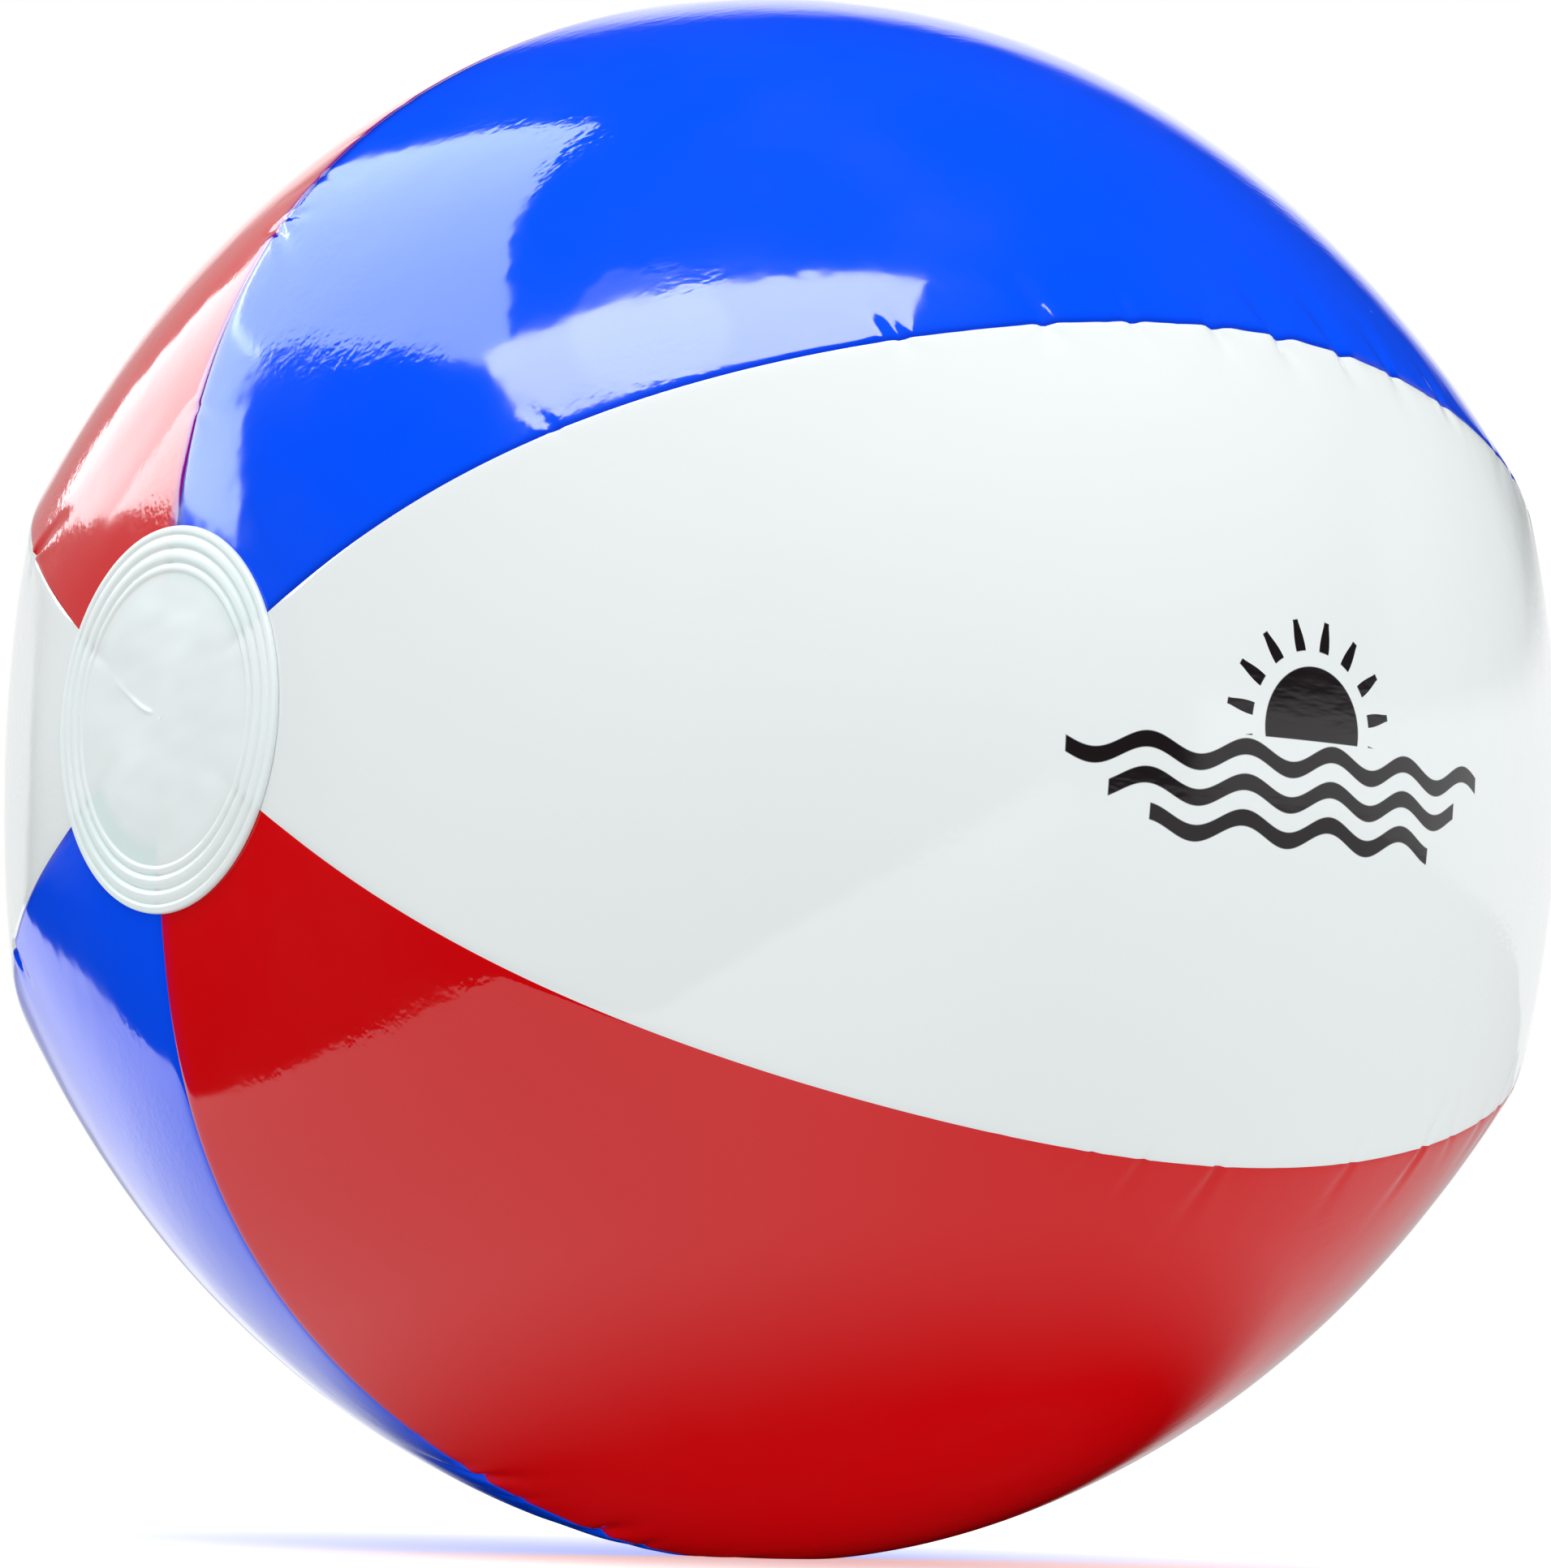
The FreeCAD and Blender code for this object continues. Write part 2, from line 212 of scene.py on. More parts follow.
def pucker_list(seam):
    """One seam's folds, in metres: (place, depth, width, reach before, reach after, slant)."""
    chance = np.random.default_rng(SEED + seam)
    folds = [(place * END_LENGTH, depth * MM, width * MM, before * MM, after * MM, slant)
             for place, depth, width, before, after, slant in MAIN_FOLDS[seam]]
    for start, end, strength in PUCKER_ZONES[seam]:
        place = start + chance.uniform(0, 5) * MM / END_LENGTH
        while place < end:
            fade = min(1, (place - start) / 0.12 + 0.35, (end - place) / 0.12 + 0.25)
            depth = strength * fade * chance.uniform(0.35, 1.15) * MM
            width = chance.uniform(1.3, 2.6) * MM
            before, after = chance.uniform(3, 10, 2) * MM
            slant = chance.uniform(-0.5, 0.5)
            folds.append((place * END_LENGTH, depth, width, before, after, slant))
            place += chance.uniform(9, 16) * MM / END_LENGTH
    return folds


FOLDS = [pucker_list(seam) for seam in range(6)]


def seam_relief(seam, length, distance, after):
    """How far the film near one seam is sunk. after is True on the panel that follows the seam."""
    sunk = GROOVE_DEPTH * np.exp(-distance / GROOVE_WIDTH)
    for place, depth, width, reach_before, reach_after, slant in FOLDS[seam]:
        reach = reach_after if after else reach_before
        offset = length - place - slant * distance * (1 if after else -1)
        narrow = width * (0.6 + 0.6 * distance / reach)
        valley = np.exp(-((offset / narrow) ** 2))
        shoulder = np.exp(-((offset / (2.6 * narrow)) ** 2))
        sunk = sunk + depth * (1.2 * valley - 0.4 * shoulder) * np.exp(-((distance / reach) ** 1.5))
    return sunk


def waves(points, wavelength, seed, count=9):
    """A soft random swell: a sum of sine waves in random directions, near 1 at its highest."""
    chance = np.random.default_rng(SEED * 100 + seed)
    total = np.zeros(points.shape[:-1])
    for _ in range(count):
        direction = chance.normal(size=3)
        direction /= np.linalg.norm(direction)
        pitch = wavelength * chance.uniform(0.7, 1.5)
        total += np.sin(points @ direction * 2 * math.pi / pitch + chance.uniform(0, 2 * math.pi))
    return total / math.sqrt(count)


def settle(points):
    """Presses what would be under the floor flat, with a soft edge."""
    lift = (points[..., 2] - CONTACT_Z) / SETTLED_EDGE
    eased = np.where(lift > 30, lift, np.log1p(np.exp(np.minimum(lift, 30))))
    points[..., 2] = CONTACT_Z + SETTLED_EDGE * eased
    return points


def sinking_direction(points, normals, nearest):
    """Unit outward directions: the normal, turned into the seam's own plane close to a seam."""
    round_axis = np.cross(np.array([1.0, 0, 0]), points)
    round_axis /= np.linalg.norm(round_axis, axis=-1, keepdims=True)
    close = np.exp(-nearest / STRAIGHT_REACH)[..., None]
    turned = normals - close * round_axis * (normals * round_axis).sum(-1, keepdims=True)
    return turned / np.linalg.norm(turned, axis=-1, keepdims=True)


def film_surface(number, latitude, side, depth=0.0):
    """Points of one gore with its folds, at a depth under its face."""
    centre_angle = number * PANEL_STEP
    points, from_first, from_second = panel_points(latitude, side, centre_angle)
    normals = panel_normals(latitude, side, centre_angle)
    nearest = np.minimum(from_first, from_second)
    length = along_seam(latitude) * END_LENGTH
    radius = np.hypot(points[..., 1], points[..., 2])
    free = np.clip((radius - CAP_RADIUS) / CAP_MARGIN, 0, 1)
    free = free * free * (3 - 2 * free)
    sunk = seam_relief((number - 1) % 6, length, from_first, True)
    sunk = sunk + seam_relief(number, length, from_second, False)
    away = 1 - np.exp(-nearest / SEAM_MARGIN)
    ripples = waves(points, RIPPLE_LENGTH, 1) + FINE_RIPPLE_SHARE * waves(points, FINE_RIPPLE_LENGTH, 2)
    moved = (RIPPLE_HEIGHT * away * ripples - sunk) * free - SUNK_UNDER_CAP * (1 - free) - depth
    return settle(points + moved[..., None] * sinking_direction(points, normals, nearest))


# ---------------------------------------------------------------- meshes

def mesh_object(name, vertices, faces, smooth=True):
    """A linked object from vertices and faces."""
    mesh = bpy.data.meshes.new(name)
    mesh.from_pydata(vertices.tolist(), [], faces.tolist() if isinstance(faces, np.ndarray) else faces)
    mesh.validate()
    mesh.polygons.foreach_set("use_smooth", [smooth] * len(mesh.polygons))
    made = bpy.data.objects.new(name, mesh)
    bpy.context.scene.collection.objects.link(made)
    return made


def grid_faces(rows, columns, wrap=False):
    """Quads over a grid of vertices, row by row. wrap joins the last column to the first."""
    row = np.arange(rows - 1)[:, None]
    column = np.arange(columns if wrap else columns - 1)[None, :]
    following = (column + 1) % columns
    corners = (row * columns + column, (row + 1) * columns + column,
               (row + 1) * columns + following, row * columns + following)
    return np.stack(corners, -1).reshape(-1, 4)


def turned_face(points, faces):
    """The same faces, turned over if they look inwards."""
    middle = points[faces].mean(1)
    normal = np.cross(points[faces[:, 1]] - points[faces[:, 0]], points[faces[:, 3]] - points[faces[:, 0]])
    return faces[:, ::-1] if (normal * middle).sum() < 0 else faces


def panel_sides():
    """Columns across a panel, close together at the seams."""
    half = float(panel_points(0.0, 1.0, 0.0)[1]) / 2
    edge = 1 - np.array(EDGE_STEPS_MM) * MM / half
    middle = np.linspace(-edge[-1], edge[-1], MIDDLE_COLUMNS)
    return np.concatenate([-edge[:-1], middle, edge[:-1][::-1]])


def panel_rows():
    """Latitudes along a panel, evenly spaced over the film."""
    lengths = np.linspace(-END_LENGTH, END_LENGTH, ROWS)
    return np.sign(lengths) * np.interp(abs(lengths), SEAM_LENGTH, LATITUDES)


def make_panel(number):
    """One gore's sheet, with its seam colour stored at its vertices: the films' overlap and painted shade
    of the groove.
    """
    latitude, side = np.meshgrid(panel_rows(), panel_sides(), indexing="ij")
    points = film_surface(number, latitude, side)
    vertices = points.reshape(-1, 3)
    faces = turned_face(vertices, grid_faces(*latitude.shape))
    panel = mesh_object("film_" + PANELS[number], vertices, faces)
    to_first, to_second = panel_points(latitude, side, 0.0)[1:]
    # Share of seam colour: the films' overlap on red over blue, and painted shade of the seam's groove on
    # blue and white film.
    overlap_and_shade = seam_overlap_and_shade((number - 1) % 6, number, to_first) + seam_overlap_and_shade(number, number, to_second)
    layer = panel.data.color_attributes.new("seam_overlap_and_shade", "FLOAT_COLOR", "POINT")
    layer.data.foreach_set("color", np.repeat(overlap_and_shade.ravel().astype(np.float32), 4))
    return panel


def seam_overlap_and_shade(seam, number, distance):
    """How much seam colour shows on a gore near a seam. Red film over blue shows it most, as the films'
    overlap; on blue and white film it is painted shade of the groove.
    """
    pair = {PANELS[seam].split("_")[0], PANELS[(seam + 1) % 6].split("_")[0]}
    if pair == {"red", "blue"}:
        strength = 1.0 if seam == 1 else 0.15
        return strength * np.exp(-((distance / OVERLAP_WIDTH) ** 2))
    strength = {"blue": 0.6, "white": 0.15, "red": 0.0}[PANELS[number].split("_")[0]]
    return strength * np.exp(-((distance / (0.6 * OVERLAP_WIDTH)) ** 2))


def make_seam_fin(number):
    """The fused edge inside one seam: a thin ribbon under the folded seam line."""
    latitude = panel_rows()[FIN_ROWS_CUT:-FIN_ROWS_CUT]
    top = film_surface(number, latitude, np.ones_like(latitude), FIN_TOP)
    foot = film_surface(number, latitude, np.ones_like(latitude), FIN_FOOT)
    angle = (number + 0.5) * PANEL_STEP
    across = np.array([0, math.sin(angle), math.cos(angle)]) * FIN_HALF_THICKNESS
    ring = np.stack([top - across, top + across, foot + across, foot - across], 1)
    faces = grid_faces(len(latitude), 4, wrap=True)
    ends = [[0, 1, 2, 3], [len(latitude) * 4 - step for step in (1, 2, 3, 4)]]
    return mesh_object("fused_edge_%d" % (number + 1), ring.reshape(-1, 3), faces.tolist() + ends)


# ---------------------------------------------------------------- end caps

SEGMENTS = 288
CAP_STATIONS = 150
# Welded bands of a cap: middle radius, half width and height, in millimetres.
CAP_BANDS = ((30.35, 0.75, 0.34), (28.4, 0.85, 0.40), (26.1, 0.85, 0.38), (24.1, 0.55, 0.26))
SEAM_DIP = 0.12 * MM
# The crease pressed into the plain cap: a curve's (y, z) control points, its height and its half width.
CREASE_POINTS_MM = ((13.6, 6.5), (5.0, 1.2), (2.5, 1.2))
CREASE_HEIGHT = 0.16 * MM
CREASE_HALF_WIDTH = 0.42 * MM
# Roundings of a cap's rim and of the edge of its hole.
RIM_ROUNDING = 0.35 * MM
HOLE_ROUNDING = 0.3 * MM


def cap_relief(radius, angle, rough):
    """Height of a cap's face over its seat: its film, weld bands, seam lines under it, and slack inside."""
    height = np.full_like(radius, CAP_FILM)
    for middle, half_width, rise in CAP_BANDS:
        height += rise * MM * np.exp(-(((radius / MM - middle) / half_width) ** 4))
    seam_gap = np.abs((angle / PANEL_STEP) % 1 - 0.5) * 2
    tip = np.clip((radius / MM - 17) / 6, 0, 1) * np.clip((28 - radius / MM) / 3, 0, 1)
    height -= SEAM_DIP * tip * np.exp(-((seam_gap * 9) ** 2))
    inner = np.clip((23 - radius / MM) / 6, 0, 1)
    return height + rough * inner


def crease_height(y, z):
    """A small curved crease pressed into the plain cap's middle."""
    (ay, az), (by, bz), (cy, cz) = CREASE_POINTS_MM
    height = np.zeros_like(y)
    for share in np.linspace(0, 1, 40):
        here_y = ((1 - share) ** 2 * ay + 2 * share * (1 - share) * by + share ** 2 * cy) * MM
        here_z = ((1 - share) ** 2 * az + 2 * share * (1 - share) * bz + share ** 2 * cz) * MM
        strength = 0.25 + 0.75 * math.sin(math.pi * (0.02 + 0.9 * share ** 1.6))
        away = ((y - here_y) ** 2 + (z - here_z) ** 2) / CREASE_HALF_WIDTH ** 2
        height = np.maximum(height, strength * np.exp(-away))
    return CREASE_HEIGHT * height


def make_cap(name, direction, hole_radius):
    """An end cap: a closed skin round its weld bands, its rim and, on the valve side, its hole."""
    radii = np.concatenate([np.linspace(max(hole_radius, 0.02 * MM), 22 * MM, CAP_STATIONS // 3),
                            np.linspace(22.1 * MM, CAP_RADIUS, CAP_STATIONS - CAP_STATIONS // 3)])
    radius, angle = np.meshgrid(radii, np.linspace(0, 2 * math.pi, SEGMENTS, endpoint=False), indexing="ij")
    y, z = -radius * np.cos(angle), radius * np.sin(angle)
    flat_points = np.stack([radius * 0 + direction * CAP_EDGE_X, y, z], -1)
    rough = 0.10 * MM * waves(flat_points, 17 * MM, 5) + 0.03 * MM * waves(flat_points, 6 * MM, 6)
    height = cap_relief(radius, angle, rough)
    if hole_radius == 0:
        height = height + crease_height(y, z)
    rim = np.clip((CAP_RADIUS - radius) / RIM_ROUNDING, 0, 1)
    height = height * np.sqrt(1 - (1 - rim) ** 2)
    edge = np.clip((radius - hole_radius) / HOLE_ROUNDING, 0, 1) if hole_radius else 1.0
    top = np.stack([direction * (cap_seat(radius) + height * (0.35 + 0.65 * edge)), y, z], -1)
    under = np.stack([direction * (cap_seat(radius) - 0.02 * MM), y, z], -1)
    rows = np.concatenate([top, under[::-1]])
    vertices = rows.reshape(-1, 3)
    faces = grid_faces(len(rows), SEGMENTS, wrap=True).tolist()
    last = (len(rows) - 1) * SEGMENTS
    if hole_radius:
        faces += [[last + k, k, (k + 1) % SEGMENTS, last + (k + 1) % SEGMENTS] for k in range(SEGMENTS)]
    else:
        faces += [list(range(SEGMENTS))[::-1], list(range(last, last + SEGMENTS))]
    cap = mesh_object(name, vertices, faces)
    if direction > 0:
        cap.data.flip_normals()
    paint_tips(cap)
    return cap


def paint_tips(cap):
    """Colours a cap's vertices with what shows through: the gores' tips, fainter under the bands."""
    places = np.array([vertex.co for vertex in cap.data.vertices])
    radius = np.hypot(places[:, 1], places[:, 2]) / MM
    angle = np.arctan2(places[:, 2], -places[:, 1])
    which = np.floor((angle / PANEL_STEP + 0.5) % 6).astype(int) % 6
    tints = np.array([CAP_TINTS[name.split("_")[0]] for name in PANELS])[which]
    band = sum(np.exp(-(((radius - middle) / (width * 1.15)) ** 4)) for middle, width, _ in CAP_BANDS)
    band = np.clip(band, 0, 1)
    chance = np.random.default_rng(SEED)
    reach = 19.5 + chance.uniform(-2.5, 2.5, 6)[which]
    shown = np.clip((radius - reach) / 2.5, 0, 1) * (1 - 0.7 * band)
    mixed = np.array(MILKY) * (1 - shown[:, None] * (1 - tints))
    past_seam = (angle / PANEL_STEP - 0.5) % 1
    cross = np.minimum(past_seam, 1 - past_seam) * radius
    knot = np.exp(-((cross / 0.9) ** 2)) * np.clip((radius - 23) / 2, 0, 1) * (1 - band)
    mixed *= 1 - 0.22 * knot[:, None]
    layer = cap.data.color_attributes.new("seen_through", "FLOAT_COLOR", "POINT")
    layer.data.foreach_set("color", np.c_[mixed, np.ones(len(mixed))].astype(np.float32).ravel())


# ---------------------------------------------------------------- valve

STEM_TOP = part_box("valve_stem")[1].x
STEM_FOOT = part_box("valve_stem")[0].x
PLUG_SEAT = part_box("stopper_plug")[1].x - 1.6 * MM
FLANGE_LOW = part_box("valve_flange")[0]
TURNS = 96
# Radii of the valve's pieces, in millimetres.
BORE = 2.75
TUBE = 4.75
COLLAR = 5.3
MOUTH = 3.5
HEAD = 5.5
FLANGE_HOLE = 10.2
FLANGE_OUTER = 18
FLAP = 3.9
# The soft funnel, in millimetres: its outer radius, how far the radius falls to its inner edge, the
# thickness of its film and the height of its two folds.
FUNNEL_RADIUS = 10.7
FUNNEL_FALL = 5.3
FUNNEL_FILM = 0.45
FUNNEL_FOLD = 0.22


def rounded(outline, radius, steps=4):
    """A closed outline with its corners rounded off."""
    corners = []
    count = len(outline)
    for index, (x, y) in enumerate(outline):
        here = np.array([x, y], float)
        back = np.array(outline[index - 1], float) - here
        ahead = np.array(outline[(index + 1) % count], float) - here
        reach = min(radius, 0.45 * np.linalg.norm(back), 0.45 * np.linalg.norm(ahead))
        start = here + back / np.linalg.norm(back) * reach
        end = here + ahead / np.linalg.norm(ahead) * reach
        for share in np.linspace(0, 1, steps):
            corners.append((1 - share) ** 2 * start + 2 * share * (1 - share) * here + share ** 2 * end)
    return np.array(corners)


def turned_piece(name, outline_mm, radius_mm=0.15):
    """A piece turned round the X axis from an outline of (x, radius), in millimetres."""
    outline = rounded(outline_mm, radius_mm) * MM
    outline[:, 1] = np.maximum(outline[:, 1], 0.02 * MM)
    angle = np.linspace(0, 2 * math.pi, TURNS, endpoint=False)
    x = np.repeat(outline[:, :1], TURNS, 1)
    y = outline[:, 1:] * np.sin(angle)
    z = outline[:, 1:] * np.cos(angle)
    rows = np.stack([x, y, z], -1)
    rows = np.concatenate([rows, rows[:1]])
    vertices = rows[:-1].reshape(-1, 3)
    faces = grid_faces(len(rows), TURNS, wrap=True) % len(vertices)
    made = mesh_object(name, vertices, faces)
    outwards(made)
    return made


def outwards(made):
    """Turns a closed piece's faces so that they look outwards."""
    bpy.context.view_layer.objects.active = made
    made.select_set(True)
    bpy.ops.object.mode_set(mode="EDIT")
    bpy.ops.mesh.select_all(action="SELECT")
    bpy.ops.mesh.normals_make_consistent(inside=False)
    bpy.ops.object.mode_set(mode="OBJECT")
    made.select_set(False)


def ribbon(name, path_mm, width_mm, thick_mm):
    """A flat strap along a smooth path of (x, z) points in millimetres, rounded at its edges."""
    path = np.array(path_mm, float)
    shares = np.linspace(0, 1, 40)
    knots = np.linspace(0, 1, len(path))
    smooth = np.stack([np.interp(shares, knots, path[:, axis]) for axis in (0, 1)], 1)
    for _ in range(12):
        smooth[1:-1] = 0.25 * smooth[:-2] + 0.5 * smooth[1:-1] + 0.25 * smooth[2:]
    ahead = np.gradient(smooth, axis=0)
    ahead /= np.linalg.norm(ahead, axis=1, keepdims=True)
    side = np.stack([-ahead[:, 1], ahead[:, 0]], 1)
    wide, thick = width_mm / 2, thick_mm / 2
    section = rounded([(-wide, -thick), (wide, -thick), (wide, thick), (-wide, thick)], 0.2)
    rows = []
    for place, normal in zip(smooth, side):
        rows.append([(place[0] + normal[0] * up, across, place[1] + normal[1] * up)
                     for across, up in section])
    rows = np.array(rows) * MM
    faces = grid_faces(len(rows), len(section), wrap=True).tolist()
    last = (len(rows) - 1) * len(section)
    faces += [list(range(len(section)))[::-1], list(range(last, last + len(section)))]
    made = mesh_object(name, rows.reshape(-1, 3), faces)
    outwards(made)
    return made


def make_stem():
    top, foot = STEM_TOP / MM, STEM_FOOT / MM
    return turned_piece("blow_tube", [
        (foot, BORE), (top - 4.4, BORE), (top, MOUTH), (top, TUBE), (top - 0.9, 4.95),
        (top - 1.7, 4.7), (top - 4.4, 4.7), (top - 4.4, COLLAR), (top - 5.6, COLLAR), (top - 5.6, TUBE),
        (foot + 1.2, TUBE), (foot, 4.3),
    ], 0.25)


def make_stopper():
    seat = PLUG_SEAT / MM
    head = turned_piece("stopper", [
        (seat - 4.0, 0), (seat + 1.25, 0), (seat + 1.25, 3.7), (seat + 1.6, 4.1), (seat + 1.6, 5.1),
        (seat + 1.1, HEAD), (seat, HEAD), (seat, 3.3), (seat - 1.6, 2.95), (seat - 1.9, 3.05),
        (seat - 2.4, 2.7), (seat - 4.0, 2.2),
    ], 0.2)
    tab = ribbon("stopper_tab", [
        (seat + 0.8, -4.8), (seat + 0.8, -5.8), (seat + 0.85, -6.8), (seat + 1.0, -7.5),
    ], 4.0, 0.8)
    head_parts = [head, tab]
    with bpy.context.temp_override(active_object=head, selected_editable_objects=head_parts):
        bpy.ops.object.join()
    return head


def make_flange():
    low, high = FLANGE_LOW.x / MM, float(cap_seat(FLANGE_HOLE * MM)) / MM
    edge = float(cap_seat(FLANGE_OUTER * MM)) / MM - 0.05
    return turned_piece("valve_ring", [
        (low, FLANGE_HOLE), (high, FLANGE_HOLE), (high - 0.05, 12.5), (edge, FLANGE_OUTER),
        (low, FLANGE_OUTER),
    ], 0.25)


def make_diaphragm():
    """The soft funnel between the flange and the stem's collar, with two shallow folds."""
    low, high = FLANGE_LOW.x / MM + 0.15, STEM_TOP / MM - 5.0
    shares = np.linspace(0, 1, 28)
    radius = FUNNEL_RADIUS - FUNNEL_FALL * shares ** 1.4
    fold = FUNNEL_FOLD * np.sin(shares * math.pi * 4) * np.sin(shares * math.pi)
    depth = low + (high - low) * shares ** 0.55 + fold
    upper = list(zip(depth, radius))
    lower = [(x - FUNNEL_FILM, r + 0.12) for x, r in reversed(upper)]
    return turned_piece("soft_funnel", upper + lower, 0.05)


def make_tether():
    seat = PLUG_SEAT / MM
    return ribbon("stopper_strap", [
        (seat - 2.6, 4.8), (seat - 2.7, 6.4), (seat - 2.3, 7.6), (seat - 1.0, 8.0), (seat + 0.4, 7.8),
        (seat + 0.85, 6.9), (seat + 0.8, 5.3),
    ], 3.0, 0.65)


def make_flap():
    face = STEM_FOOT / MM - 0.3
    return turned_piece("check_disc", [(face - 0.5, 0), (face, 0), (face, FLAP), (face - 0.5, FLAP)], 0.15)


def make_flap_web():
    foot = STEM_FOOT / MM
    return ribbon("disc_web", [
        (foot - 0.05, 4.3), (foot - 0.3, 4.35), (foot - 0.5, 4.25), (foot - 0.55, 3.95),
    ], 3.0, 0.25)


# ---------------------------------------------------------------- materials

def new_material(name, roughness, colour):
    """A plain material, its node tree and its shader."""
    material = bpy.data.materials.new(name)
    material.use_nodes = True
    shader = material.node_tree.nodes["Principled BSDF"]
    shader.inputs["Base Color"].default_value = (*colour, 1)
    shader.inputs["Roughness"].default_value = roughness
    shader.inputs["IOR"].default_value = 1.5
    return material, material.node_tree, shader


def add(tree, kind, values=None, **settings):
    """A node with its settings, and inputs linked to sockets or set to plain values."""
    node = tree.nodes.new("ShaderNode" + kind)
    for key, value in settings.items():
        setattr(node, key, value)
    for key, value in (values or {}).items():
        if isinstance(value, bpy.types.NodeSocket):
            tree.links.new(value, node.inputs[key])
        else:
            node.inputs[key].default_value = value
    return node


def maths(tree, operation, first, second=0.0):
    return add(tree, "Math", {0: first, 1: second}, operation=operation).outputs[0]


def noise(tree, place, scale, detail=3.0, roughness=0.5):
    values = {"Vector": place, "Scale": scale, "Detail": detail, "Roughness": roughness}
    return add(tree, "TexNoise", values).outputs[0]


def length_of(tree, first, second):
    """Length of the vector with these two parts."""
    squares = [maths(tree, "POWER", part, 2.0) for part in (first, second)]
    return maths(tree, "SQRT", maths(tree, "ADD", *squares))


def smooth_range(tree, value, low, high, out_low=0.0, out_high=1.0):
    """The value's way from low to high, eased at both ends, as a number from out_low to out_high."""
    values = {0: value, 1: low, 2: high, 3: out_low, 4: out_high}
    return add(tree, "MapRange", values, interpolation_type="SMOOTHSTEP").outputs[0]


def blend_colours(tree, share, first, second):
    node = tree.nodes.new("ShaderNodeMix")
    node.data_type = "RGBA"
    for socket, value in ((node.inputs[0], share), (node.inputs[6], first), (node.inputs[7], second)):
        if isinstance(value, bpy.types.NodeSocket):
            tree.links.new(value, socket)
        elif isinstance(value, float):
            socket.default_value = value
        else:
            socket.default_value = (*value, 1)
    return node.outputs[2]


# How much cloud and dust shows on the film, and the dust's colour.
CLOUDINESS = 0.06
SPECK_SHARE = 0.35
DUST = (0.8, 0.8, 0.8)
CLOUDED_MILKY = (0.80, 0.89, 0.885)
# Least and most roughness of the film and of the end discs.
FILM_GLOSS = (0.055, 0.13)
CAP_GLOSS = (0.30, 0.42)

# The film's fine relief: height in millimetres of its slanted streaks and of its soft unevenness.
STREAK_HEIGHT = 0.035
UNEVEN_HEIGHT = 0.035
STREAK_TURN = (0.0, math.radians(-50), math.radians(20))
STREAK_STRETCH = (0.28, 1.0, 1.0)


def film_bump(tree, place, shader, fine=1.0):
    """Fine streaks that come and go in patches, over a soft unevenness."""
    streaks = add(tree, "Mapping", {"Vector": place, "Rotation": STREAK_TURN, "Scale": STREAK_STRETCH})
    streak = noise(tree, streaks.outputs[0], 800, 1.0)
    patch = smooth_range(tree, noise(tree, place, 28, 1.0), 0.42, 0.62)
    uneven = noise(tree, place, 170, 1.0)
    streaky = maths(tree, "MULTIPLY", maths(tree, "MULTIPLY", streak, patch), STREAK_HEIGHT)
    height = maths(tree, "ADD", streaky, maths(tree, "MULTIPLY", uneven, UNEVEN_HEIGHT))
    bump = add(tree, "Bump", {"Height": height, "Strength": 1.0, "Distance": MM * fine})
    tree.links.new(bump.outputs[0], shader.inputs["Normal"])


def film_material(name, colour, ink=False):
    """Glossy vinyl film: faint cloudiness, dust specks, a little unevenness in its gloss, and streaks."""
    material, tree, shader = new_material(name, 0.1, colour)
    place = add(tree, "TexCoord").outputs["Object"]
    cloud = smooth_range(tree, noise(tree, place, 18, 4.0), 0.3, 0.7, 0.0, CLOUDINESS)
    tinted = blend_colours(tree, cloud, colour, tuple(0.8 * part + 0.02 for part in colour))
    specks = add(tree, "TexVoronoi", {"Vector": place, "Scale": 85.0, "Randomness": 1.0})
    speck = maths(tree, "MULTIPLY", smooth_range(tree, specks.outputs["Distance"], 0.035, 0.02),
                  smooth_range(tree, noise(tree, place, 23, 1.0), 0.60, 0.64))
    dusty = blend_colours(tree, maths(tree, "MULTIPLY", speck, SPECK_SHARE), tinted, DUST)
    # Beside the seams: the films' overlap on red film, and painted shade of the seam's groove on blue and
    # white film.
    overlap_and_shade = add(tree, "Attribute", attribute_name="seam_overlap_and_shade").outputs["Fac"]
    with_overlap_and_shade = blend_colours(tree, overlap_and_shade, dusty, SEAM_OVERLAP_AND_SHADE_COLOURS[name.split("_")[0]])
    final = blend_colours(tree, printed_mark(tree, place), with_overlap_and_shade, INK) if ink else with_overlap_and_shade
    tree.links.new(final, shader.inputs["Base Color"])
    smudge = noise(tree, place, 30, 5.0, 0.6)
    tree.links.new(smooth_range(tree, smudge, 0.35, 0.75, *FILM_GLOSS), shader.inputs["Roughness"])
    film_bump(tree, place, shader)
    return material


# The printed mark on the front gore: a sun setting behind three waves.
MARK_X = 3 * MM
MARK_Z = 2 * MM
SUN_RADIUS = 10 * MM
RAY_START = 12.5 * MM
RAY_END = 17.5 * MM
RAYS = 16
WAVE_HALF_LENGTH = 44 * MM
WAVE_HALF_THICKNESS = 1.3 * MM
WAVE_HEIGHT = 1.5 * MM
WAVE_PITCH = 17.6 * MM
WAVE_LEVELS = (-5 * MM, -10.5 * MM, -16 * MM)
WAVE_SHORTENING = 0.16
# The sun fades in between these heights over the first wave's middle.
SUN_CUT = (3.2 * MM, 3.4 * MM)
SOFT_EDGE = 0.12 * MM


